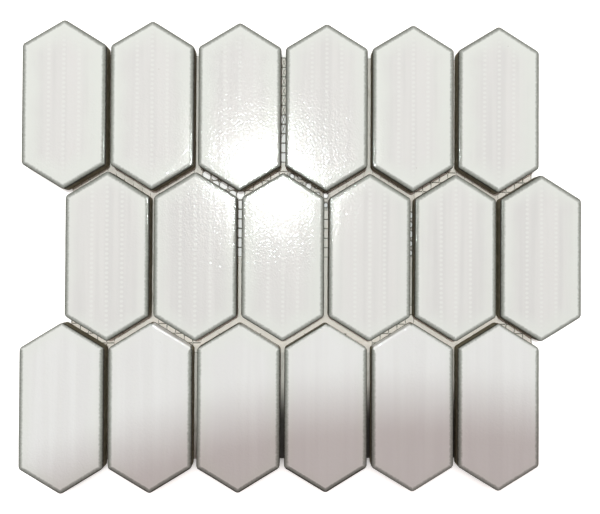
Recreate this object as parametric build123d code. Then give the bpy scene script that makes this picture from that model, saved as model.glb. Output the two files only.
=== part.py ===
from build123d import *

import math
import os

# Mesh-backed sheet of elongated hexagon mosaic tile, in millimetres.
#
# Eighteen glazed ceramic tiles stand in three rows of six on one sheet of glass-fibre mesh. Each
# tile is a hexagon drawn out along Y, with two straight sides and a blunt point at each end. The
# middle row is shifted by half a column, so that the points of each row fit between the points of
# the next. The joints between the tiles are open, for grout, and the mesh shows at their bottom.
#
# The origin is at the middle of the sheet, on its underside. +X runs along the rows and +Z points
# out of the glazed faces.

# The tile
TILE_WIDTH = 47.5  # across the two straight sides
TILE_LENGTH = 96.4  # from one rounded point to the other
POINT_RISE = 14.5  # from the shoulder to the point of the sharp hexagon
TILE_THICKNESS = 7.0
RIM_RADIUS = 2.3  # of the rounded rim round the glazed face
FACE_CORNER_RADIUS = 0.3  # of the six corners of the flat face inside the rim
BACK_CHAMFER = 0.6  # round the unglazed back

# The layout of the tiles
SIDE_JOINT = 2.5  # between the straight sides of two tiles in a row
POINT_JOINT = 3.7  # between the slanted ends of two rows, square to them
TILES_PER_ROW = 6
ROW_NAMES = ("bottom", "middle", "top")
ROW_SHIFTS = (-0.25, 0.25, -0.25)  # in columns, so that the sheet stays centred

# The backing mesh, which is cut along its outermost threads
THREAD_WIDTH = 0.7
MESH_THICKNESS = 0.5
PITCH_ACROSS = 5.0  # between the threads that run along Y
PITCH_ALONG = 5.6  # between the threads that run along X
INSET_ACROSS = 26.0  # of the outermost thread from the sides of the outermost tiles
INSET_ALONG = 17.0  # of the outermost thread from the points of the outermost tiles
BLOCKS_ACROSS = ("left", "centre", "right")
BLOCKS_ALONG = ("bottom", "middle", "top")

# Worked out from the sizes above
corner_radius = RIM_RADIUS + FACE_CORNER_RADIUS
slant = math.atan2(POINT_RISE, TILE_WIDTH / 2)
sharp_length = TILE_LENGTH + 2 * corner_radius * (1 / math.cos(slant) - 1)
column_pitch = TILE_WIDTH + SIDE_JOINT
row_pitch = sharp_length + POINT_JOINT / math.cos(slant) - column_pitch / 2 * math.tan(slant)
row_width = TILES_PER_ROW * column_pitch - SIDE_JOINT
sheet_width = row_width + (max(ROW_SHIFTS) - min(ROW_SHIFTS)) * column_pitch
sheet_length = (len(ROW_NAMES) - 1) * row_pitch + TILE_LENGTH
mesh_width = sheet_width - 2 * INSET_ACROSS
mesh_length = sheet_length - 2 * INSET_ALONG


def make_tile():
    """One pressed tile with its back on Z = 0, a rounded rim above and a chamfer below."""
    side = TILE_WIDTH / 2
    point = sharp_length / 2
    shoulder = point - POINT_RISE
    corners = [
        (side, -shoulder),
        (side, shoulder),
        (0, point),
        (-side, shoulder),
        (-side, -shoulder),
        (0, -point),
    ]
    hexagon = make_face(Polyline(*corners, close=True))
    outline = fillet(hexagon.vertices(), corner_radius)
    tile = extrude(outline, TILE_THICKNESS)
    tile = fillet(tile.faces().sort_by(Axis.Z)[-1].edges(), RIM_RADIUS)
    return chamfer(tile.faces().sort_by(Axis.Z)[0].edges(), BACK_CHAMFER)


def tile_places():
    """The name and the centre of each tile, row by row and from left to right."""
    middle_row = (len(ROW_NAMES) - 1) / 2
    middle_column = (TILES_PER_ROW - 1) / 2
    for row, (row_name, shift) in enumerate(zip(ROW_NAMES, ROW_SHIFTS)):
        y = (row - middle_row) * row_pitch
        for column in range(TILES_PER_ROW):
            x = (column - middle_column + shift) * column_pitch
            yield f"tile_{row_name}_{column + 1}", x, y


def thread_blocks(names, extent, pitch):
    """For each block: its name, the middles of its threads, and the two edges where it ends.

    Neighbouring blocks share a thread and meet on its middle line.
    """
    openings = round(extent / len(names) / pitch)
    outermost = len(names) * openings * pitch / 2
    for index, name in enumerate(names):
        first = index * openings * pitch - outermost
        threads = [first + count * pitch for count in range(openings + 1)]
        low = threads[0] - (THREAD_WIDTH / 2 if index == 0 else 0)
        high = threads[-1] + (THREAD_WIDTH / 2 if index == len(names) - 1 else 0)
        yield name, threads, low, high


def box_wire(left, right, bottom, top):
    """A rectangle in the plane of the sheet's underside."""
    return Wire.make_polygon([(left, bottom), (right, bottom), (right, top), (left, top)])


def mesh_blocks():
    """The name and the solid of each block of mesh, its threads fused where they cross."""
    inset = THREAD_WIDTH / 2
    for along_name, ys, bottom, top in thread_blocks(BLOCKS_ALONG, mesh_length, PITCH_ALONG):
        for across_name, xs, left, right in thread_blocks(BLOCKS_ACROSS, mesh_width, PITCH_ACROSS):
            openings = [
                box_wire(x_low + inset, x_high - inset, y_low + inset, y_high - inset)
                for x_low, x_high in zip(xs, xs[1:])
                for y_low, y_high in zip(ys, ys[1:])
            ]
            net = Face(box_wire(left, right, bottom, top), openings)
            yield f"mesh_{along_name}_{across_name}", extrude(net, MESH_THICKNESS, (0, 0, 1))


def main():
    os.makedirs("parts", exist_ok=True)
    tile = make_tile()
    for name, x, y in tile_places():
        export_step(Pos(x, y, MESH_THICKNESS) * tile, f"parts/{name}.step")
    for name, block in mesh_blocks():
        export_step(block, f"parts/{name}.step")


main()
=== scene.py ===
import math
import random

import bpy
import numpy as np
from mathutils import Euler, Matrix, Vector


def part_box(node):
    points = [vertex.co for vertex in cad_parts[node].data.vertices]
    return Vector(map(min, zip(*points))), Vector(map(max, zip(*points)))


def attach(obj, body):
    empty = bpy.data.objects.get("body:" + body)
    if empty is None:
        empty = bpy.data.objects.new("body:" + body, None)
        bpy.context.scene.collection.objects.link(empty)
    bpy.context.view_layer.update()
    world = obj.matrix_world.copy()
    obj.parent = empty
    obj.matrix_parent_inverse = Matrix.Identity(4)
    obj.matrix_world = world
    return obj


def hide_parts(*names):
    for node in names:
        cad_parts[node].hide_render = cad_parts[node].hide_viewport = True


# Looks for the mesh-backed sheet of elongated hexagon tile. Shapes and places are worked out here
# in millimetres, in the CAD model's own frame, and METRES turns them into metres for Blender.

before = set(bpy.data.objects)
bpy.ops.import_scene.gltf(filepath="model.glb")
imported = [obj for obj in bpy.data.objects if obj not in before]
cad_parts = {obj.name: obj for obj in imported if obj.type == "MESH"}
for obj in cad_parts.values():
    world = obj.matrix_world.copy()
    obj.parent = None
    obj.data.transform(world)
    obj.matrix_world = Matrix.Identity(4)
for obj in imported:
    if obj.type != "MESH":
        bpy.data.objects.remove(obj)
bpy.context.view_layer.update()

METRES = 0.001
SEED = 4813

# The tile's form, as in the CAD model
POINT_RISE = 14.5
RIM_RADIUS = 2.3
CORNER_RADIUS = 2.6
FACE_CORNER_RADIUS = 0.3
BACK_CHAMFER = 0.6
SIDE_JOINT = 2.5  # between the upright sides of two tiles

# The tile's finer form
CUSHION_DEPTH = 0.12  # from the flat middle of the face down to the inner edge of the rim
CUSHION_INSET = 6.0  # where the face has become flat
CUSHION_RINGS = (0.2, 0.45, 0.7, 1.0)  # shares of the way from the rim to the flat face
RIM_DROP = 1.5  # from the inner edge of the rim down to the upright side
RIM_FULLNESS = 3.6  # 2 for an ellipse, more for a tighter outer corner
BACK_MARGIN = 3.0  # plain border round the ribs of the back
RIB_PITCH = 5.5
RIB_DEPTH = 0.3
RIB_FLANK = (-0.2, 0.5)  # of the cosine across the ribs, between which a groove deepens
RIB_RUNOUT = 1.5  # over which the grooves end at the border
WAVE_LENGTHS = (4.3, 5.2, 7.1)  # of the faint upright ripples in the face
WAVE_HEIGHT = 0.0035
WAVE_INSET = 8.0  # where the ripples reach their full height

# The tile's faults, which differ from tile to tile
RANDOM_PHASE = 6.3  # about a full turn
OUTLINE_FAULT = 0.09
OUTLINE_WAVES = (2, 3, 5, 9)  # round the tile
MEAN_RADIUS = 30.0  # of the outline
RIM_FAULT = 0.05  # of the rim's height
RIM_WAVES = (3, 7, 13, 19)
RIM_FAULT_INSETS = (1.0, 5.0)  # between which it ends
PLACE_FAULT = 0.12
TURN_FAULT = math.radians(0.12)
TILT_FAULT = math.radians(0.1)
SEED_RANGE = 100  # of the number that tells the tiles' noises apart

# The tile's glaze, in insets from its outline where nothing else is said
# Of each row: how strong its dots are, its lack of green, and its share of the whiter colour, which
# brightens the bottom row as painted light
ROW_LOOKS = {"top": (0.7, 0.0, 0.0), "middle": (0.8, 1.3, 0.0), "bottom": (0.25, 2.5, 0.8)}
PAINTED_RIM_REFLECTION = 0.9  # glaze colour brought further out on the rims of the lower row's upper slants, as painted reflection of light
# Glaze colour given to the upper slanted sides of some tiles, in millimetres of inset: 4 is a full
# coat.
SIDE_GLAZE_REACH = {("tile_bottom_2", "right"): 4.0, ("tile_bottom_3", "right"): 1.4,
             ("tile_bottom_4", "right"): 1.4, ("tile_bottom_5", "left"): 4.0}
# How far the dark bare body reaches into the glaze on the lower slants of some tiles, in
# millimetres of inset: a painted dark reflection on these rims
PAINTED_DARK_ENDS = {"tile_bottom_1": 0.3, "tile_bottom_2": 0.5, "tile_bottom_3": 0.5, "tile_bottom_4": 0.7}
SLANT_FADE = 0.5  # over which the added or missing glaze colour ends inside the rim
SHOULDER_FADE = (-0.4, 0.6)  # by how much the slant is nearer than the side where it begins
RIM_FADE = (0.1, 0.9)  # where the glaze colour added to a rim as painted reflection begins
SIDE_FADE = (0.5, 2.0)  # from the ends of a slant, where the glaze colour on a side begins

# How finely the tile is divided
TIP_POINTS = 4
SLANT_POINTS = 12
SHOULDER_POINTS = 5
SIDE_POINTS = 17
RIM_STEPS = 10
FACE_COLUMNS = 54
BACK_COLUMNS = 30

# Angles in degrees, beyond which an edge of a piece looks sharp
TILE_CREASE = 40
YARN_CREASE = 100
ADHESIVE_CREASE = 50

# The backing net, whose lines lie on the middles of the CAD model's threads
WARP_LINES = 55
WEFT_LINES = 43
PITCH_ACROSS = 5.0
PITCH_ALONG = 5.6
NET_MIDDLE = 0.25  # height of the middle of the net
WARP_SWAY = 0.21  # of the two twisted yarns of a warp line, either way
WARP_LIFT = 0.13
WARP_HALF_WIDTH = 0.15
WARP_HALF_HEIGHT = 0.085
WARP_STEPS = 5  # from one crossing to the next
WARP_SIDES = 4
WARP_END = 0.25  # past the last crossing
WEFT_HALF_WIDTH = 0.3
WEFT_HALF_HEIGHT = 0.1
WEFT_STEPS = 3
WEFT_SIDES = 6
WEFT_END = 0.35
LINE_WANDER = 0.14
WANDER_LENGTHS = (9.0, 23.0, 51.0)
STRAY_LINE = 24  # the warp line that strays into a joint of the upper row, with a looser twist
STRAY_START, STRAY_END = 66.0, 76.0  # along the sheet, where it moves over
STRAY_SHIFT = 2.5
STRAY_SWAY = 0.7

# The adhesive on the net
FILM_BOTTOM = 0.14
FILM_SAG = 0.04  # of the middle of a cell, or of the edge of its hole
FILM_SIDES = 24
CELL_GAP = 0.01  # keeps the films of neighbouring cells apart
FILM_DEPTH = 3.0  # how far under a tile the middle of a filled cell may lie
FILM_REACH = 2.4  # how far the film itself goes under a tile
FILM_EDGE_FAULT = 0.7
FILM_PULL = 0.97  # less than 1, so that no two of the places that are drawn back meet
NEARLY_NOTHING = 1e-6
HOLE_BORDER = 0.5
HOLE_SHARPNESS = (2.2, 3.5)  # 2 for an ellipse, more for sharper corners
HOLE_FAULT = 0.1
HOLE_WAVES = (2, 3, 5)
WEB_CORNERS = 8
WEB_ARM = 0.9
WEB_WAIST = 0.42
WEB_SPREAD = (0.85, 1.2)
WEB_TOP = 0.4
WEB_BOTTOM = 0.1
DAB_RADIUS = 5.5
DAB_SPREAD = (0.6, 1.2)
DAB_SIDES = 20
DAB_LEVELS = ((1.0, 0.5), (0.92, 0.42), (0.6, 0.36))  # share of the radius, and height
DAB_FAULT = 0.3
DAB_WAVES = (1, 2, 3, 5)
DAB_SWAY = 8.0  # to either side of the tile's middle line
DAB_MARGIN = 17.0  # from the tile's points to the outermost dabs
DABS_PER_TILE = 7

# Which film lies in which joint
SLANT_BAND = 0.85  # of the points' rise, to either side of the line between two rows
# One letter for each slanted joint from left to right, and for the upper and the lower half of
# each upright joint: f is filled with film, w with film that is not darkened, d with film that is
# painted dark towards its lower end as painted shade, t has thin film that shows the yarns, h has
# a round hole in each cell, and o is open.
UPPER_JOINTS = "fffothfftft"
LOWER_JOINTS = "twtwwwwtwwt"
UPRIGHT_JOINTS = {1: ("fftff", "ffoff"), 0: ("fothf", "fwwff"), -1: ("ffddd", "ffddd")}
FILM_TOPS = {"f": 0.37, "w": 0.47, "d": 0.47, "t": 0.22, "h": 0.36, "o": 0.33}
FILM_HOLES = {"h": (0.45, 0.75), "o": (0.92, 0.99)}
# How much the film of each letter is darkened. The edges of holes and the lower end of film of
# letter d are darkened further, as painted shade.
FILM_DARKENING = {"f": 0.18, "w": 0.0, "d": 0.18, "t": 0.0, "h": 0.18, "o": 0.18}
PAINTED_SHADE_START, PAINTED_SHADE_END = -66.0, -96.0  # along the sheet, where painted shade darkens the film of letter d

# The camera, fitted to the outlines of the tiles in the photograph
CAMERA_PLACE = (-8.46, -2.34, 272.14)
CAMERA_TURN = (0.009, -0.022, 0.005)  # about X, Y and Z
FOCAL_LENGTH = 27.72
SENSOR_WIDTH = 36.0
NEAREST_SEEN = 10.0

tile_low, tile_high = (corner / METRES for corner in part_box("tile_middle_1"))
TILE_WIDTH = tile_high.x - tile_low.x
TILE_LENGTH = tile_high.y - tile_low.y
TILE_THICKNESS = tile_high.z - tile_low.z
SLANT = math.atan2(POINT_RISE, TILE_WIDTH / 2)
SHARP_LENGTH = TILE_LENGTH + 2 * CORNER_RADIUS * (1 / math.cos(SLANT) - 1)
TILE_NODES = sorted(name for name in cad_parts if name.startswith("tile_"))
NET_NODES = sorted(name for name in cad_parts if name.startswith("mesh_"))


def smooth(value, low, high):
    """0 below low and 1 above high, with a soft start and end."""
    share = np.clip((value - low) / (high - low), 0, 1)
    return share * share * (3 - 2 * share)


def mesh_piece(name, points, faces, material, nodes, crease):
    """Makes a shown piece from points in millimetres, ties it to its body, gives it a slot, and
    hides its nodes.
    """
    mesh = bpy.data.meshes.new(name)
    mesh.from_pydata((np.asarray(points) * METRES).tolist(), [], faces)
    mesh.polygons.foreach_set("use_smooth", [True] * len(mesh.polygons))
    mesh.set_sharp_from_angle(angle=math.radians(crease))
    mesh.materials.append(material)
    piece = bpy.data.objects.new(name, mesh)
    bpy.context.scene.collection.objects.link(piece)
    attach(piece, "root")
    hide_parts(*nodes)
    return piece


def set_attribute(piece, name, values):
    """Gives every vertex of a piece a number that its material reads."""
    attribute = piece.data.attributes.new(name, "FLOAT", "POINT")
    values = np.broadcast_to(values, len(piece.data.vertices)).astype(float)
    attribute.data.foreach_set("value", values)


# Tiles


def arc(middle, radius, start, end, count):
    """Points on an arc, with both ends."""
    angles = np.linspace(start, end, count)
    return middle + radius * np.stack((np.cos(angles), np.sin(angles)), axis=1)


def half_outline(inset):
    """The right half of the tile's outline, set in, from its upper tip down to its lower tip."""
    radius = max(CORNER_RADIUS - inset, FACE_CORNER_RADIUS)
    sine, cosine = math.sin(SLANT), math.cos(SLANT)
    reach = SHARP_LENGTH / 2 * cosine - inset - radius
    tip = np.array((0.0, reach / cosine))
    shoulder_x = TILE_WIDTH / 2 - inset - radius
    shoulder = np.array((shoulder_x, (reach - shoulder_x * sine) / cosine))
    upright = math.pi / 2
    tip_arc = arc(tip, radius, upright, upright - SLANT, TIP_POINTS)
    shoulder_arc = arc(shoulder, radius, upright - SLANT, 0, SHOULDER_POINTS)
    along_slant = np.linspace(tip_arc[-1], shoulder_arc[0], SLANT_POINTS + 2)[1:-1]
    side_end = shoulder_arc[-1] * (1, 0)
    along_side = np.linspace(shoulder_arc[-1], side_end, SIDE_POINTS + 1)[1:]
    quarter = np.concatenate((tip_arc, along_slant, shoulder_arc, along_side))
    return np.concatenate((quarter, quarter[-2::-1] * (1, -1)))


def inset_of(x, y):
    """How far a point lies inside the tile's sharp outline."""
    from_side = TILE_WIDTH / 2 - np.abs(x)
    along = np.abs(x) * math.sin(SLANT) + np.abs(y) * math.cos(SLANT)
    return np.minimum(from_side, SHARP_LENGTH / 2 * math.cos(SLANT) - along)


def tile_sections():
    """Inset and height of each ring of the tile, from its back over the rim to the flat face."""
    rim_foot = TILE_THICKNESS - CUSHION_DEPTH - RIM_DROP
    power = 2 / RIM_FULLNESS
    yield BACK_MARGIN, 0.0
    yield BACK_CHAMFER, 0.0
    yield 0.0, BACK_CHAMFER
    yield 0.0, (BACK_CHAMFER + rim_foot) / 2
    for angle in np.linspace(0, math.pi / 2, RIM_STEPS + 1):
        inset = RIM_RADIUS * (1 - math.cos(angle) ** power)
        yield inset, rim_foot + RIM_DROP * math.sin(angle) ** power
    for share in CUSHION_RINGS:
        inset = RIM_RADIUS + share * (CUSHION_INSET - RIM_RADIUS)
        drop = CUSHION_DEPTH * (1 - smooth(share, 0, 1))
        yield inset, TILE_THICKNESS - drop


def ring_faces(low, high, count):
    """Quads between two rings of points, given by the index of the first point of each."""
    for i in range(count):
        j = (i + 1) % count
        yield low + i, high + i, high + j, low + j


def cap(points, faces, ring, count, columns, height, face_up):
    """Fills the last ring with rows of points from side to side, at one height."""
    half = count // 2
    rows = []
    for i in range(1, half):
        left, right = ring + count - i, ring + i
        start = len(points)
        reach, y = points[right][0], points[right][1]
        inner = np.linspace(-reach, reach, columns + 1)[1:-1]
        points.extend((x, y, height) for x in inner)
        rows.append([left, *range(start, len(points)), right])
    made = []
    for upper, lower in zip(rows, rows[1:]):
        for c in range(columns):
            made.append((upper[c], lower[c], lower[c + 1], upper[c + 1]))
    for c in range(columns):
        made.append((ring, rows[0][c], rows[0][c + 1]))
        made.append((rows[-1][c], ring + half, rows[-1][c + 1]))
    faces.extend(made if face_up else [face[::-1] for face in made])


def tile_form():
    """Points and faces of one faultless tile, with the ribs of its back, centred on its middle."""
    points, faces = [], []
    starts = []
    for inset, height in tile_sections():
        right = half_outline(inset)
        loop = np.concatenate((right, right[-2:0:-1] * (-1, 1)))
        starts.append(len(points))
        points.extend((x, y, height) for x, y in loop)
        count = len(loop)
    for low, high in zip(starts, starts[1:]):
        faces.extend(ring_faces(low, high, count))
    cap(points, faces, starts[-1], count, FACE_COLUMNS, TILE_THICKNESS, True)
    back_start = len(points)
    cap(points, faces, starts[0], count, BACK_COLUMNS, 0.0, False)
    points = np.array(points)
    back = points[back_start:]
    groove = smooth(np.cos(2 * math.pi * back[:, 0] / RIB_PITCH), *RIB_FLANK)
    groove *= smooth(inset_of(back[:, 0], back[:, 1]), BACK_MARGIN, BACK_MARGIN + RIB_RUNOUT)
    back[:, 2] = RIB_DEPTH * groove
    return points, faces


def wobble(chance, angle, waves):
    """A small smooth fault round the tile, between about -1 and 1."""
    total = np.zeros_like(angle)
    for wave in waves:
        total += chance.uniform(-1, 1) * np.sin(wave * angle + chance.uniform(0, 2 * math.pi))
    return total / len(waves)


def glaze_edge_shift(node, x, y, z, inset):
    """How far the glaze colours move out or in on the slants of the lower row, in millimetres of
    inset: a painted reflection of light on the rims of the upper slants, glaze colour on some upper
    sides, and a painted dark reflection on the lower slants of some tiles.
    """
    if not node.startswith("tile_bottom"):
        return np.zeros_like(x)
    from_slant = (SHARP_LENGTH / 2 - np.abs(y)) * math.cos(SLANT) - np.abs(x) * math.sin(SLANT)
    from_side = TILE_WIDTH / 2 - np.abs(x)
    on_slant = 1 - smooth(from_slant, RIM_RADIUS, RIM_RADIUS + SLANT_FADE)
    on_slant *= smooth(from_side - from_slant, *SHOULDER_FADE)
    on_rim = (z > TILE_THICKNESS / 2) * smooth(inset, *RIM_FADE)
    on_side = (z > BACK_CHAMFER) * smooth(from_side, *SIDE_FADE) * smooth(np.abs(x), *SIDE_FADE)
    # Glaze colour given to the upper sides of some tiles.
    side_glaze = np.where(x > 0, *(SIDE_GLAZE_REACH.get((node, side), 0) for side in ("right", "left")))
    # Painted reflection of light on the rims of the upper slants, and glaze colour on some upper
    # sides.
    upper = (y > 0) * np.maximum(PAINTED_RIM_REFLECTION * on_rim, side_glaze * on_side)
    # Painted dark reflection: bare dark body brought in on the lower slants of some tiles.
    lower = (y < 0) * PAINTED_DARK_ENDS.get(node, 0) * (z > TILE_THICKNESS / 2)
    return on_slant * (upper - lower)


def tile_piece(node, form, faces, material):
    """One tile with its own small faults, in the place of its node."""
    chance = random.Random(f"{SEED} {node}")
    x, y, z = form.T.copy()
    inset = inset_of(x, y)
    angle = np.arctan2(y, x)
    ripple = sum(np.sin(2 * math.pi * x / length + chance.uniform(0, RANDOM_PHASE))
                 for length in WAVE_LENGTHS)
    upper = smooth(z, TILE_THICKNESS / 2, TILE_THICKNESS - CUSHION_DEPTH)
    near_rim = 1 - smooth(inset, *RIM_FAULT_INSETS)
    z += WAVE_HEIGHT * ripple * smooth(inset, RIM_RADIUS, WAVE_INSET) * upper
    z += RIM_FAULT * wobble(chance, angle, RIM_WAVES) * upper * near_rim
    swell = 1 + OUTLINE_FAULT / MEAN_RADIUS * wobble(chance, angle, OUTLINE_WAVES)
    low, high = (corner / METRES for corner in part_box(node))
    piece = mesh_piece(node + "_glazed", np.stack((x * swell, y * swell, z), axis=1), faces,
                       material, [node], TILE_CREASE)
    # The inset that the glaze colours follow, moved on the slants of the lower row for painted
    # reflections and for glaze colour on some sides.
    glazed_inset = np.where(z > TILE_THICKNESS / 2, inset, 0.0) + glaze_edge_shift(node, x, y, z, inset)
    dots, neutral, white = ROW_LOOKS[node.split("_")[1]]
    set_attribute(piece, "inset", glazed_inset)
    set_attribute(piece, "dots", dots)
    # The row's share of the whiter colour, painted light for the bottom row.
    set_attribute(piece, "white", white)
    set_attribute(piece, "seed", chance.uniform(0, SEED_RANGE))
    set_attribute(piece, "tone", chance.uniform(-1, 1) + neutral)
    place = Vector(((low.x + high.x) / 2, (low.y + high.y) / 2, low.z))
    place += Vector((chance.uniform(-1, 1), chance.uniform(-1, 1), 0)) * PLACE_FAULT
    tilt = (chance.uniform(-1, 1) * TILT_FAULT, chance.uniform(-1, 1) * TILT_FAULT,
            chance.uniform(-1, 1) * TURN_FAULT)
    piece.matrix_world = Matrix.LocRotScale(place * METRES, Euler(tilt), None)
    return piece


# Net and adhesive


def line_wander(chance, along):
    """A slow sideways drift of one line of the net."""
    drift = sum(np.sin(along / length + chance.uniform(0, RANDOM_PHASE))
                for length in WANDER_LENGTHS)
    return LINE_WANDER / len(WANDER_LENGTHS) * drift


def yarn(points, faces, path, across, half_width, half_height, sides):
    """Adds a closed flat-sided yarn along a path; across is the index of its width axis."""
    start = len(points)
    for place in path:
        for side in range(sides):
            angle = 2 * math.pi * side / sides
            point = list(place)
            point[across] += half_width * math.cos(angle)
            point[2] += half_height * math.sin(angle)
            points.append(point)
    order = 1 if across == 0 else -1
    for ring in range(start, start + (len(path) - 1) * sides, sides):
        for side in range(sides):
            after = (side + 1) % sides
            quad = (ring + side, ring + after, ring + sides + after, ring + sides + side)
            faces.append(quad[::-order])
    first = list(range(start, start + sides))
    last = list(range(len(points) - sides, len(points)))
    faces.append(tuple(first[::order]))
    faces.append(tuple(last[::-order]))


def net_lines(count, pitch):
    """Places of the lines of one direction, centred on the sheet."""
    return (np.arange(count) - (count - 1) / 2) * pitch


def warp_piece(material):
    """The lines along Y, each of two yarns that twist round each other between the crossings."""
    points, faces = [], []
    crossings = net_lines(WEFT_LINES, PITCH_ALONG)
    steps = (WEFT_LINES - 1) * WARP_STEPS + 1
    along = np.linspace(crossings[0] - WARP_END, crossings[-1] + WARP_END, steps)
    phase = math.pi * (along - crossings[0]) / PITCH_ALONG
    for number, middle in enumerate(net_lines(WARP_LINES, PITCH_ACROSS)):
        chance = random.Random(f"{SEED} warp {number}")
        x = middle + line_wander(chance, along)
        stray = (number == STRAY_LINE) * smooth(along, STRAY_START, STRAY_END)
        x += STRAY_SHIFT * stray
        for side in (1, -1):
            sway = side * (WARP_SWAY + STRAY_SWAY * stray) * np.cos(phase)
            lift = side * WARP_LIFT * np.cos(2 * phase)
            path = np.stack((x + sway, along, NET_MIDDLE + lift), axis=1)
            yarn(points, faces, path, 0, WARP_HALF_WIDTH, WARP_HALF_HEIGHT, WARP_SIDES)
    return mesh_piece("net_warp", points, faces, material, NET_NODES, YARN_CREASE)


def weft_piece(material):
    """The flat lines along X, which run through the twists of the warp."""
    points, faces = [], []
    crossings = net_lines(WARP_LINES, PITCH_ACROSS)
    steps = (WARP_LINES - 1) * WEFT_STEPS + 1
    along = np.linspace(crossings[0] - WEFT_END, crossings[-1] + WEFT_END, steps)
    for number, middle in enumerate(net_lines(WEFT_LINES, PITCH_ALONG)):
        chance = random.Random(f"{SEED} weft {number}")
        y = middle + line_wander(chance, along)
        path = np.stack((along, y, np.full(steps, NET_MIDDLE)), axis=1)
        yarn(points, faces, path, 1, WEFT_HALF_WIDTH, WEFT_HALF_HEIGHT, WEFT_SIDES)
    return mesh_piece("net_weft", points, faces, material, NET_NODES, YARN_CREASE)


def deepest_tile(places, middles):
    """How deep each place lies in the outline of a tile, and its place seen from that tile."""
    seen = places[:, None, :] - middles
    depths = inset_of(seen[..., 0], seen[..., 1])
    nearest = np.argmax(depths, axis=1)
    rows = np.arange(len(places))
    return depths[rows, nearest], seen[rows, nearest]


def edge_fault(x, y):
    """A number between -1 and 1 that changes over a few millimetres."""
    return np.sin(1.1 * x + 2 * np.sin(0.7 * y)) * np.sin(0.9 * y)


def drawn_back(places, middles, reach):
    """The places, with those that lie too far under a tile moved back towards the joint."""
    depth, seen = deepest_tile(places, middles)
    reach = reach + FILM_EDGE_FAULT * edge_fault(*places.T)
    by_side = TILE_WIDTH / 2 - np.abs(seen[:, 0]) < depth + NEARLY_NOTHING
    slanted = np.sign(seen) * (math.sin(SLANT), math.cos(SLANT))
    sideways = np.sign(seen) * (1, 0)
    outward = np.where(by_side[:, None], sideways, slanted)
    return places + outward * FILM_PULL * np.maximum(depth - reach, 0)[:, None]


def in_order(ring):
    """The places in the order of their directions from their middle, so that no edge folds back."""
    x, y = (ring - ring.mean(axis=0)).T
    return ring[np.argsort(np.arctan2(y, x))]


def film_cell(points, faces, middle, letter, middles, chance):
    """Adhesive in one cell of the net, with a round hole in it or none.

    The fourth number of a point is how much its colour is darkened: a fixed share for each letter,
    more towards the lower end of film of letter d, and 1 at the edge of a hole; these two are
    painted shade.
    """
    film_top, darkening = FILM_TOPS[letter], FILM_DARKENING[letter]
    hole = chance.uniform(*FILM_HOLES[letter]) if letter in FILM_HOLES else 0
    half = (np.array((PITCH_ACROSS, PITCH_ALONG)) - CELL_GAP) / 2
    start = len(points)
    angles = 2 * math.pi * np.arange(FILM_SIDES) / FILM_SIDES
    rays = np.stack((np.cos(angles), np.sin(angles)), axis=1)
    to_border = rays / np.max(np.abs(rays), axis=1)[:, None] * half
    outer = drawn_back(middle + to_border, middles, FILM_REACH)
    if not hole:
        outer = in_order(outer)
    top_darkening = np.full(FILM_SIDES, darkening)
    # Painted shade: the film of letter d darkens towards its lower end.
    if letter == "d":
        top_darkening = np.maximum(darkening, smooth(outer[:, 1], PAINTED_SHADE_START, PAINTED_SHADE_END))
    points.extend((*place, film_top, share) for place, share in zip(outer, top_darkening))
    points.extend((*place, FILM_BOTTOM, darkening) for place in outer)
    top, bottom = start, start + FILM_SIDES
    if hole:
        sharpness = chance.uniform(*HOLE_SHARPNESS)
        radial = (np.abs(rays) ** sharpness).sum(axis=1) ** (-1 / sharpness)
        ragged = 1 + HOLE_FAULT * wobble(chance, angles, HOLE_WAVES)
        inner = middle + rays * (radial * ragged)[:, None] * hole * (half - WARP_SWAY)
        inner = drawn_back(inner, middles, FILM_REACH - HOLE_BORDER)
        # Painted shade: the edge of each hole is fully darkened.
        for height in (film_top - FILM_SAG, FILM_BOTTOM + FILM_SAG):
            points.extend((*place, height, 1) for place in inner)
        top_hole, bottom_hole = start + 2 * FILM_SIDES, start + 3 * FILM_SIDES
        for i in range(FILM_SIDES):
            j = (i + 1) % FILM_SIDES
            faces.append((top + i, top + j, top_hole + j, top_hole + i))
            faces.append((top_hole + i, top_hole + j, bottom_hole + j, bottom_hole + i))
            faces.append((bottom_hole + i, bottom_hole + j, bottom + j, bottom + i))
    else:
        centre = outer.mean(axis=0)
        points.append((*centre, film_top - FILM_SAG, top_darkening.mean()))
        points.append((*centre, FILM_BOTTOM + FILM_SAG, darkening))
        for i in range(FILM_SIDES):
            j = (i + 1) % FILM_SIDES
            faces.append((top + i, top + j, start + 2 * FILM_SIDES))
            faces.append((bottom + j, bottom + i, start + 2 * FILM_SIDES + 1))
    for i in range(FILM_SIDES):
        j = (i + 1) % FILM_SIDES
        faces.append((bottom + i, bottom + j, top + j, top + i))


def web(points, faces, middle, chance):
    """The small star of adhesive that holds one crossing of the net."""
    start = len(points)
    top, bottom = start + WEB_CORNERS, start + WEB_CORNERS + 1
    for corner in range(WEB_CORNERS):
        angle = 2 * math.pi * corner / WEB_CORNERS
        reach = (WEB_WAIST if corner % 2 else WEB_ARM) * chance.uniform(*WEB_SPREAD)
        points.append((middle[0] + reach * math.cos(angle), middle[1] + reach * math.sin(angle),
                       NET_MIDDLE, 0))
    points.append((*middle, WEB_TOP, 0))
    points.append((*middle, WEB_BOTTOM, 0))
    for corner in range(WEB_CORNERS):
        after = (corner + 1) % WEB_CORNERS
        faces.append((start + corner, start + after, top))
        faces.append((start + after, start + corner, bottom))


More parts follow.
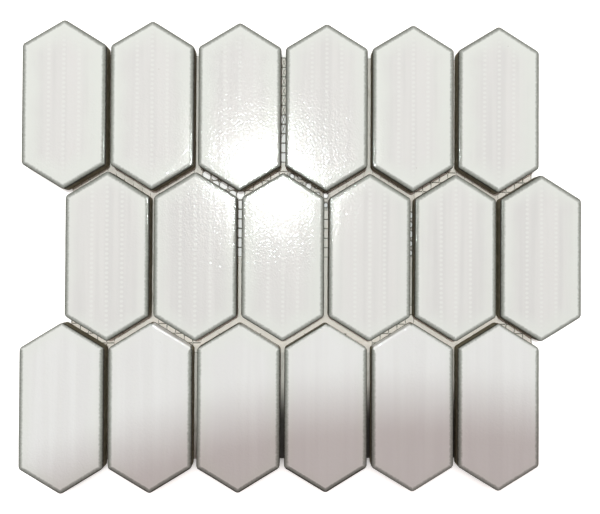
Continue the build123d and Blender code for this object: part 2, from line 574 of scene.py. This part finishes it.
def dab(points, faces, middle, radius, chance):
    """A flat dab of adhesive between the back of a tile and the net."""
    start = len(points)
    angles = 2 * math.pi * np.arange(DAB_SIDES) / DAB_SIDES
    reach = radius * (1 + DAB_FAULT * wobble(chance, angles, DAB_WAVES))
    for share, height in DAB_LEVELS:
        xs = middle[0] + share * reach * np.cos(angles)
        ys = middle[1] + share * reach * np.sin(angles)
        points.extend((x, y, height, 0) for x, y in zip(xs, ys))
    end = len(points)
    for ring in range(start, end - DAB_SIDES, DAB_SIDES):
        faces.extend(ring_faces(ring, ring + DAB_SIDES, DAB_SIDES))
    faces.append(tuple(range(start, start + DAB_SIDES)))
    faces.append(tuple(range(end - 1, end - DAB_SIDES - 1, -1)))


def tile_middles():
    """The middle of each tile node in the plane of the sheet."""
    for node in TILE_NODES:
        low, high = (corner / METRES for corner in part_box(node))
        yield np.array(((low.x + high.x) / 2, (low.y + high.y) / 2))


def film_letter(place, middles):
    """The letter of the joint that a cell of the net lies in, or None where there is no film."""
    depth, _ = deepest_tile(place[None, :], middles)
    if depth[0] > FILM_DEPTH:
        return None
    row_line = TILE_LENGTH / 2 - POINT_RISE / 2
    first_tip = middles[:, 0].min()
    half_pitch = (TILE_WIDTH + SIDE_JOINT) / 2
    number = (place[0] - first_tip) / half_pitch
    if abs(abs(place[1]) - row_line) <= POINT_RISE * SLANT_BAND:
        letters = UPPER_JOINTS if place[1] > 0 else LOWER_JOINTS
        return letters[min(max(int(number), 0), len(letters) - 1)]
    row = round(place[1] / (2 * row_line))
    upper, lower = UPRIGHT_JOINTS[row]
    letters = upper if place[1] > row * 2 * row_line else lower
    first_joint = 1 if row else 2
    number = round((number - first_joint) / 2)
    return letters[min(max(number, 0), len(letters) - 1)]


def adhesive_piece(material):
    """Film in the joints, a web on each bare crossing, and dabs on the backs of the tiles."""
    points, faces = [], []
    chance = random.Random(SEED)
    middles = np.array(list(tile_middles()))
    xs, ys = net_lines(WARP_LINES, PITCH_ACROSS), net_lines(WEFT_LINES, PITCH_ALONG)
    for x in (xs[:-1] + xs[1:]) / 2:
        for y in (ys[:-1] + ys[1:]) / 2:
            place = np.array((x, y))
            letter = film_letter(place, middles)
            if letter:
                film_cell(points, faces, place, letter, middles, chance)
    for x in xs:
        for y in ys:
            web(points, faces, np.array((x, y)), chance)
    for middle in middles:
        for number in range(DABS_PER_TILE):
            along = (number / (DABS_PER_TILE - 1) - 0.5) * (TILE_LENGTH - 2 * DAB_MARGIN)
            place = middle + (chance.uniform(-DAB_SWAY, DAB_SWAY), along)
            if abs(place[0]) < xs[-1] and abs(place[1]) < ys[-1]:
                dab(points, faces, place, DAB_RADIUS * chance.uniform(*DAB_SPREAD), chance)
    points = np.array(points)
    piece = mesh_piece("net_adhesive", points[:, :3], faces, material, NET_NODES,
                       ADHESIVE_CREASE)
    # Each point's darkening, which is partly painted shade, for the material to read.
    set_attribute(piece, "darkening", points[:, 3])
    return piece


# Materials


class Shader:
    """The node tree of a material or of the world, with short ways to add nodes and join them."""

    def __init__(self, owner):
        owner.use_nodes = True
        self.owner = owner
        self.tree = owner.node_tree
        self.tree.nodes.clear()

    def join(self, value, socket):
        """Joins a socket to another one, or gives it a fixed value."""
        if isinstance(value, bpy.types.NodeSocket):
            self.tree.links.new(value, socket)
        else:
            socket.default_value = value

    def add(self, kind, inputs=(), **settings):
        """A new node with its settings, and with values or sockets for its inputs."""
        node = self.tree.nodes.new(kind)
        for name, value in settings.items():
            setattr(node, name, value)
        for key, value in dict(inputs).items():
            self.join(value, node.inputs[key])
        return node

    def math(self, operation, *values):
        return self.add("ShaderNodeMath", enumerate(values), operation=operation).outputs[0]

    def place(self, scale=(1, 1, 1)):
        """The place on the piece in millimetres, stretched by scale."""
        here = self.add("ShaderNodeTexCoord").outputs["Object"]
        inputs = {0: here, 1: tuple(part / METRES for part in scale)}
        return self.add("ShaderNodeVectorMath", inputs, operation="MULTIPLY").outputs[0]

    def number(self, attribute):
        """The number that set_attribute() gave to the piece."""
        return self.add("ShaderNodeAttribute", attribute_name=attribute).outputs["Fac"]

    def noise(self, place, scale, detail=2.0, seed=0.0):
        """A noise between 0 and 1; scale is its number of waves in a millimetre."""
        inputs = {"Vector": place, "W": seed, "Scale": scale, "Detail": detail}
        return self.add("ShaderNodeTexNoise", inputs, noise_dimensions="4D").outputs[0]

    def between(self, value, low, high, start=0.0, end=1.0):
        """Goes softly from start to end while the value goes from low to high."""
        inputs = {0: value, 1: low, 2: high, 3: start, 4: end}
        return self.add("ShaderNodeMapRange", inputs, interpolation_type="SMOOTHSTEP").outputs[0]

    def mix(self, share, first, second):
        """The first colour where the share is 0, and the second where it is 1."""
        inputs = {0: share, 6: first, 7: second}
        return self.add("ShaderNodeMix", inputs, data_type="RGBA").outputs[2]

    def blend(self, share, first, second):
        """The first number where the share is 0, and the second where it is 1."""
        inputs = {0: share, 2: first, 3: second}
        return self.add("ShaderNodeMix", inputs, data_type="FLOAT").outputs[0]

    def surface(self, colour, roughness, height):
        """Ends the tree in a plain solid surface; height is in millimetres."""
        bump = self.add("ShaderNodeBump", {"Height": height, "Distance": METRES, "Strength": 1.0})
        inputs = {"Base Color": colour, "Roughness": roughness, "Normal": bump.outputs[0]}
        solid = self.add("ShaderNodeBsdfPrincipled", inputs)
        self.add("ShaderNodeOutputMaterial", {"Surface": solid.outputs[0]})
        return self.owner

    def seen_rays(self):
        """1 for the rays that show a background: from the camera, reflected, or passed on."""
        path = self.add("ShaderNodeLightPath").outputs
        total = self.math("MAXIMUM", path["Is Camera Ray"], path["Is Glossy Ray"])
        return self.math("MAXIMUM", total, path["Is Transmission Ray"])


# Values of a noise: where most of them lie, where nearly all lie, and where a patch begins
NOISE_MIDDLE = (0.35, 0.65)
NOISE_RANGE = (0.3, 0.7)
PATCH_EDGE = (0.5, 0.75)

# The glaze
GLAZE_LIGHT = (0.778, 0.765, 0.762, 1)
GLAZE_DEEP = (0.728, 0.715, 0.715, 1)
GLAZE_GREEN = (0.785, 0.800, 0.775, 1)
# A whiter colour that brightens the bottom row: painted light.
WHITER_LIGHT = (0.84, 0.84, 0.85, 1)
WHITER_DEEP = (0.815, 0.81, 0.82, 1)
# The lighter colour of the dots is a painted highlight; their raised relief is their own.
GLAZE_DOT = (0.82, 0.82, 0.81, 1)
RIM_INNER = (0.40, 0.41, 0.385, 1)
RIM_OUTER = (0.17, 0.178, 0.155, 1)
SPECK_COLOUR = (0.33, 0.30, 0.25, 1)
DOT_PITCH = 2.7
DOT_ROW = 8.5  # of the two outer rows of dots, from the middle of the tile
DOT_NARROWNESS = 0.8  # 1 for round dots, less for wider ones
DOT_FADE = (0.15, 1.1)  # squares of the distances at which a dot fades
STREAK_STRETCH = (1, 0.04, 1)
STREAK_SCALE = 0.2
CLOUD_SCALE = 0.05
CLOUD_PULL = 10.0  # how far the clouds move the inset at which the green ends
TONE_PULL = 2.0
GREEN_INSETS = (7.0, 20.0)  # between which the green ends
SPECK_SCALE = 0.16
SPECK_RADII = (0.03, 0.05)  # in shares of the distance between specks
SPECK_STRENGTH = 0.7
RAGGED_SCALE = 0.9  # of the noise that frays the edges between the colours
RAGGED_RIM = 1.2
RAGGED_EDGE = 0.8
RIM_COLOUR_INSETS = (0.35, 2.2)  # from the outer to the inner colour of the rim
RIM_INSETS = (1.6, 2.9)  # between which the thin glaze of the rim ends
PEEL_SCALE = 0.95
PEEL_HEIGHT = 0.13
DOT_HEIGHT = 0.01
RIM_UNEVENNESS = 0.03
GLOSS_SCALE = 0.4
GLOSS = (0.06, 0.09)  # the roughness of the face, from place to place
RIM_GLOSS = (0.45, 0.1)  # the roughness of the rim, from its outer edge inwards
RIM_GLOSS_INSETS = (0.35, 1.0)

# The unglazed body
BODY_COLOUR = (0.17, 0.148, 0.092, 1)
BODY_DUST = (0.36, 0.33, 0.24, 1)
EDGE_COLOUR = (0.045, 0.042, 0.034, 1)
BARE_INSETS = (0.25, 0.65)  # between which the glaze begins
EDGE_HEIGHTS = (5.4, 5.9)  # between which the body turns dark below the glaze
GRAIN_SCALE = 2.2
GRAIN_HEIGHT = 0.12
DUST_SCALE = 0.25
DUST_EDGE = (0.45, 0.75)
DUST_SHARE = 0.5
BODY_GLOSS = 0.88

# The yarn
# The yarn, cream in itself, is given dark colours as painted shade.
YARN_DARK = (0.16, 0.145, 0.12, 1)
YARN_LIGHT = (0.30, 0.27, 0.22, 1)
YARN_STAIN = (0.12, 0.105, 0.08, 1)
FIBRES_ALONG = (6, 0.4, 2)  # how much the noise is squeezed along each axis
FIBRES_ACROSS = (0.4, 6, 2)
FIBRE_SCALE = 1.5
FIBRE_HEIGHT = 0.05
YARN_STAIN_SCALE = 0.12
YARN_STAIN_SHARE = 0.5
YARN_GLOSS = (0.5, 0.75)

# The adhesive
ADHESIVE_DARK = (0.89, 0.785, 0.715, 1)
ADHESIVE_LIGHT = (0.985, 0.90, 0.84, 1)
ADHESIVE_STAIN = (0.50, 0.43, 0.33, 1)
# The colour that the film is darkened towards: painted shade at the edges of holes and at the lower
# end of film of letter d, and the fixed darkening of some films.
DARKENING_COLOUR = (0.045, 0.038, 0.03, 1)
LUMP_SCALE = 0.7
LUMP_HEIGHT = 0.1
STAIN_SCALE = 0.15
STAIN_SHARE = 0.45
PLAIN_FILM_SHARE = 0.3  # of the stains, on film that is not darkened
ADHESIVE_GLOSS = (0.35, 0.6)


def upright_dots(shader, place):
    """Three faint upright rows of dots in the face, as in the photograph."""
    parts = shader.add("ShaderNodeSeparateXYZ", {0: place}).outputs
    side = shader.math("ABSOLUTE", parts["X"])
    from_outer_row = shader.math("ABSOLUTE", shader.math("SUBTRACT", side, DOT_ROW))
    from_row = shader.math("MINIMUM", side, from_outer_row)
    across = shader.math("MULTIPLY", from_row, DOT_NARROWNESS)
    turn = shader.math("FRACT", shader.math("DIVIDE", parts["Y"], DOT_PITCH))
    along = shader.math("MULTIPLY", shader.math("SUBTRACT", turn, 0.5), DOT_PITCH)
    squares = shader.math("ADD", shader.math("MULTIPLY", across, across),
                          shader.math("MULTIPLY", along, along))
    return shader.between(squares, *DOT_FADE, 1.0, 0.0)


def frayed(shader, value, ragged, reach):
    """The value with some of the ragged noise added, to fray an edge that depends on it."""
    return shader.math("ADD", value, shader.math("MULTIPLY", ragged, reach))


def face_colour(shader, place, seed, inset, dots):
    """White glaze with streaks, dots and specks, which is greener where it lies near the rim. The
    dots' lighter colour is a painted highlight, and the bottom row's whiter colour is painted
    light.
    """
    streaks = shader.noise(shader.place(STREAK_STRETCH), STREAK_SCALE, 2.0, seed)
    streaks = shader.between(streaks, *NOISE_MIDDLE)
    plain = shader.mix(streaks, GLAZE_LIGHT, GLAZE_DEEP)
    whiter = shader.mix(streaks, WHITER_LIGHT, WHITER_DEEP)
    # Painted light: the bottom row is made whiter.
    face = shader.mix(shader.number("white"), plain, whiter)
    # Painted highlight: the dots are lighter.
    face = shader.mix(dots, face, GLAZE_DOT)
    clouds = shader.math("MULTIPLY", shader.noise(place, CLOUD_SCALE, 2.0, seed), CLOUD_PULL)
    tone = shader.math("MULTIPLY", shader.number("tone"), TONE_PULL)
    pooled = shader.math("ADD", inset, shader.math("ADD", clouds, tone))
    face = shader.mix(shader.between(pooled, *GREEN_INSETS), GLAZE_GREEN, face)
    cells = shader.add("ShaderNodeTexVoronoi", {"Vector": place, "W": seed, "Scale": SPECK_SCALE},
                       voronoi_dimensions="4D")
    speck = shader.between(cells.outputs["Distance"], *SPECK_RADII, SPECK_STRENGTH, 0.0)
    return shader.mix(speck, face, SPECK_COLOUR)


def tile_material():
    """White glaze that thins to grey-green on the rim, over a dark unglazed body."""
    shader = Shader(bpy.data.materials.new("white_glaze"))
    place = shader.place()
    seed, inset = shader.number("seed"), shader.number("inset")
    height = shader.add("ShaderNodeSeparateXYZ", {0: place}).outputs["Z"]
    ragged = shader.math("SUBTRACT", shader.noise(place, RAGGED_SCALE, 3.0, seed), 0.5)
    rim_inset = frayed(shader, inset, ragged, RAGGED_RIM)
    rim = shader.between(rim_inset, *RIM_INSETS, 1.0, 0.0)
    bare = shader.between(frayed(shader, inset, ragged, RAGGED_EDGE), *BARE_INSETS, 1.0, 0.0)
    dots = shader.math("MULTIPLY", upright_dots(shader, place), shader.number("dots"))

    rim_colour = shader.mix(shader.between(rim_inset, *RIM_COLOUR_INSETS), RIM_OUTER, RIM_INNER)
    glaze = shader.mix(rim, face_colour(shader, place, seed, inset, dots), rim_colour)
    dust = shader.noise(place, DUST_SCALE, 4.0, seed)
    dust = shader.between(dust, *DUST_EDGE, 0.0, DUST_SHARE)
    body = shader.mix(dust, BODY_COLOUR, BODY_DUST)
    edge = shader.between(frayed(shader, height, ragged, RAGGED_RIM), *EDGE_HEIGHTS)
    body = shader.mix(edge, body, EDGE_COLOUR)
    colour = shader.mix(bare, glaze, body)

    peel = shader.math("MULTIPLY", shader.noise(place, PEEL_SCALE, 2.0, seed), PEEL_HEIGHT)
    raised_dots = shader.math("MULTIPLY", dots, DOT_HEIGHT)
    rim_relief = shader.math("MULTIPLY", shader.math("MULTIPLY", ragged, rim), RIM_UNEVENNESS)
    glaze_relief = shader.math("ADD", shader.math("ADD", peel, raised_dots), rim_relief)
    body_relief = shader.math("MULTIPLY", shader.noise(place, GRAIN_SCALE, 4.0, seed), GRAIN_HEIGHT)
    relief = shader.blend(bare, glaze_relief, body_relief)

    gloss = shader.between(shader.noise(place, GLOSS_SCALE, 2.0, seed), *NOISE_RANGE, *GLOSS)
    rim_gloss = shader.between(rim_inset, *RIM_GLOSS_INSETS, *RIM_GLOSS)
    roughness = shader.blend(bare, shader.blend(rim, gloss, rim_gloss), BODY_GLOSS)
    return shader.surface(colour, roughness, relief)


def yarn_material():
    """Coated glass yarn, cream in itself but darkened as painted shade, with fine fibres along and
    across.
    """
    shader = Shader(bpy.data.materials.new("glass_yarn"))
    along = shader.noise(shader.place(FIBRES_ALONG), FIBRE_SCALE, 3.0)
    across = shader.noise(shader.place(FIBRES_ACROSS), FIBRE_SCALE, 3.0)
    fibres = shader.math("MULTIPLY", shader.math("ADD", along, across), 0.5)
    colour = shader.mix(shader.between(fibres, *NOISE_MIDDLE), YARN_DARK, YARN_LIGHT)
    stain = shader.noise(shader.place(), YARN_STAIN_SCALE, 3.0)
    stain = shader.between(stain, *PATCH_EDGE, 0.0, YARN_STAIN_SHARE)
    colour = shader.mix(stain, colour, YARN_STAIN)
    roughness = shader.between(fibres, *NOISE_RANGE, *YARN_GLOSS)
    return shader.surface(colour, roughness, shader.math("MULTIPLY", fibres, FIBRE_HEIGHT))


def adhesive_material():
    """Cream adhesive, slightly shiny, uneven and dusty, darkened as painted shade at the edges of
    holes and at the lower end of some films.
    """
    shader = Shader(bpy.data.materials.new("cream_adhesive"))
    place = shader.place()
    lumps = shader.noise(place, LUMP_SCALE, 3.0)
    darkening = shader.number("darkening")
    stain = shader.between(shader.noise(place, STAIN_SCALE, 3.0), *PATCH_EDGE, 0.0, STAIN_SHARE)
    stained = shader.between(darkening, 0.0, FILM_DARKENING["f"], PLAIN_FILM_SHARE, 1.0)
    stain = shader.math("MULTIPLY", stain, stained)
    colour = shader.mix(lumps, ADHESIVE_DARK, ADHESIVE_LIGHT)
    colour = shader.mix(stain, colour, ADHESIVE_STAIN)
    # Painted shade, and the fixed darkening of some films.
    colour = shader.mix(darkening, colour, DARKENING_COLOUR)
    roughness = shader.between(lumps, *NOISE_RANGE, *ADHESIVE_GLOSS)
    return shader.surface(colour, roughness, shader.math("MULTIPLY", lumps, LUMP_HEIGHT))


# Surroundings, in metres

WHITE = (1, 1, 1, 1)
FLOOR_SIZE = 6.0
FLOOR_DROP = 0.0001  # below the net
FLOOR_COLOUR = (0.90, 0.87, 0.86, 1)
FLOOR_GLOW = 0.8
FLOOR_SHADE_REACH = 0.006
FLOOR_SHADE_SAMPLES = 8
LAMP_PLACE = (-0.09, 0.315, 1.55)
LAMP_WARM = (1.0, 0.87, 0.83)
LAMP_COOL = (0.85, 1.0, 0.98)
PANEL_RADIUS = 0.24
PANEL_POWER = 10.0
KEY_RADIUS = 0.02
KEY_POWER = 47.0
SHADE_MIDDLE = (0.06, -0.585, 0.0)  # of the round shadow that falls on the lower right tiles
SHADE_RADIUS = 0.502
FLAG_HEIGHT = 0.8
FLAG_POINTS = 96
SKY_FAVOURS = (0.75, 0.3, 0.59)  # the direction of the right one of the two wide soft lights
SKY_COLOUR = (1.0, 0.88, 0.84, 1)
SKY_DIM = 0.04
SKY_BRIGHT = 1.04
SKY_FADE = (0.55, 1.0)  # of the cosine to that direction, from dim to bright
UNDER_LIGHT = 1.1
UNDER_ANGLE = math.radians(2)


def floor():
    """A plain white floor whose glow fades as painted shade where the sheet hides it from the open,
    and that hides nothing from below and stops no light from there.
    """
    shader = Shader(bpy.data.materials.new("white_floor"))
    plain = shader.add("ShaderNodeBsdfDiffuse", {"Color": FLOOR_COLOUR})
    open_sky = shader.add("ShaderNodeAmbientOcclusion", {"Distance": FLOOR_SHADE_REACH},
                          samples=FLOOR_SHADE_SAMPLES)
    glow_strength = shader.math("MULTIPLY", shader.seen_rays(), FLOOR_GLOW)
    # Painted shade: the glow fades under and between the tiles.
    glow_strength = shader.math("MULTIPLY", glow_strength, open_sky.outputs["AO"])
    glow = shader.add("ShaderNodeEmission", {"Strength": glow_strength})
    lit = shader.add("ShaderNodeAddShader", {0: plain.outputs[0], 1: glow.outputs[0]})
    clear = shader.add("ShaderNodeBsdfTransparent")
    from_below = shader.add("ShaderNodeNewGeometry").outputs["Backfacing"]
    shadow_ray = shader.add("ShaderNodeLightPath").outputs["Is Shadow Ray"]
    hidden = shader.math("MAXIMUM", from_below, shadow_ray)
    either = shader.add("ShaderNodeMixShader", {0: hidden, 1: lit.outputs[0], 2: clear.outputs[0]})
    shader.add("ShaderNodeOutputMaterial", {"Surface": either.outputs[0]})
    half = FLOOR_SIZE / 2
    corners = ((-half, -half), (half, -half), (half, half), (-half, half))
    mesh = bpy.data.meshes.new("floor")
    mesh.from_pydata([(x, y, -FLOOR_DROP) for x, y in corners], [], [(0, 1, 2, 3)])
    mesh.materials.append(shader.owner)
    plane = bpy.data.objects.new("floor", mesh)
    bpy.context.scene.collection.objects.link(plane)


def sky():
    """Soft light that comes mostly from the left and from the right, before a white background."""
    world = bpy.data.worlds.new("sky")
    bpy.context.scene.world = world
    shader = Shader(world)
    direction = shader.add("ShaderNodeTexCoord").outputs["Generated"]
    parts = shader.add("ShaderNodeSeparateXYZ", {0: direction}).outputs
    sideways = shader.math("ABSOLUTE", parts["X"])
    mirrored = shader.add("ShaderNodeCombineXYZ", {0: sideways, 1: parts["Y"], 2: parts["Z"]})
    facing = shader.add("ShaderNodeVectorMath", {0: mirrored.outputs[0], 1: SKY_FAVOURS},
                        operation="DOT_PRODUCT")
    strength = shader.between(facing.outputs["Value"], *SKY_FADE, SKY_DIM, SKY_BRIGHT)
    seen = shader.seen_rays()
    colour = shader.mix(seen, SKY_COLOUR, WHITE)
    inputs = {"Color": colour, "Strength": shader.blend(seen, strength, 1.0)}
    background = shader.add("ShaderNodeBackground", inputs)
    shader.add("ShaderNodeOutputWorld", {"Surface": background.outputs[0]})


def add_light(name, kind, energy, colour, place, aim):
    """A light that shines from one place to another."""
    light = bpy.data.lights.new(name, kind)
    light.energy = energy
    light.color = colour
    lamp = bpy.data.objects.new(name, light)
    lamp.location = place
    lamp.rotation_mode = "QUATERNION"
    lamp.rotation_quaternion = (Vector(aim) - Vector(place)).to_track_quat("-Z", "Y")
    bpy.context.scene.collection.objects.link(lamp)
    return light


def lamps():
    """A wide soft lamp, a small key lamp in its middle, and a light from below."""
    panel = add_light("panel", "POINT", PANEL_POWER, LAMP_WARM, LAMP_PLACE, (0, 0, 0))
    panel.shadow_soft_size = PANEL_RADIUS
    key = add_light("key", "POINT", KEY_POWER, LAMP_COOL, LAMP_PLACE, (0, 0, 0))
    key.shadow_soft_size = KEY_RADIUS
    below = add_light("below", "SUN", UNDER_LIGHT, (1, 1, 1), (0, 0, -1), (0, 0, 0))
    below.angle = UNDER_ANGLE


def flag():
    """A round card, itself unseen, that shades the lower right tiles from the lamps."""
    share = 1 - FLAG_HEIGHT / LAMP_PLACE[2]
    middle = Vector(LAMP_PLACE).lerp(Vector(SHADE_MIDDLE), share)
    angles = np.linspace(0, 2 * math.pi, FLAG_POINTS, endpoint=False)
    rim = np.stack((np.cos(angles), np.sin(angles), 0 * angles), axis=1) * SHADE_RADIUS * share
    mesh = bpy.data.meshes.new("flag")
    mesh.from_pydata(rim.tolist(), [], [tuple(range(len(rim)))])
    card = bpy.data.objects.new("flag", mesh)
    card.location = middle
    card.visible_camera = card.visible_diffuse = False
    card.visible_glossy = card.visible_transmission = False
    bpy.context.scene.collection.objects.link(card)


def camera():
    """The camera of the photograph."""
    data = bpy.data.cameras.new("camera")
    data.lens = FOCAL_LENGTH
    data.sensor_width = SENSOR_WIDTH
    data.clip_start = NEAREST_SEEN * METRES
    turns = [Matrix.Rotation(angle, 3, axis) for angle, axis in zip(CAMERA_TURN, "XYZ")]
    turn = (turns[0] @ turns[1] @ turns[2]).to_quaternion()
    eye = bpy.data.objects.new("camera", data)
    eye.matrix_world = Matrix.LocRotScale(Vector(CAMERA_PLACE) * METRES, turn, None)
    bpy.context.scene.collection.objects.link(eye)
    bpy.context.scene.camera = eye


def main():
    camera()
    glaze = tile_material()
    form, faces = tile_form()
    for node in TILE_NODES:
        tile_piece(node, form, faces, glaze)
    yarns = yarn_material()
    warp_piece(yarns)
    weft_piece(yarns)
    adhesive_piece(adhesive_material())
    floor()
    sky()
    lamps()
    flag()
    bpy.context.scene.view_settings.view_transform = "Standard"


main()

bpy.context.view_layer.update()
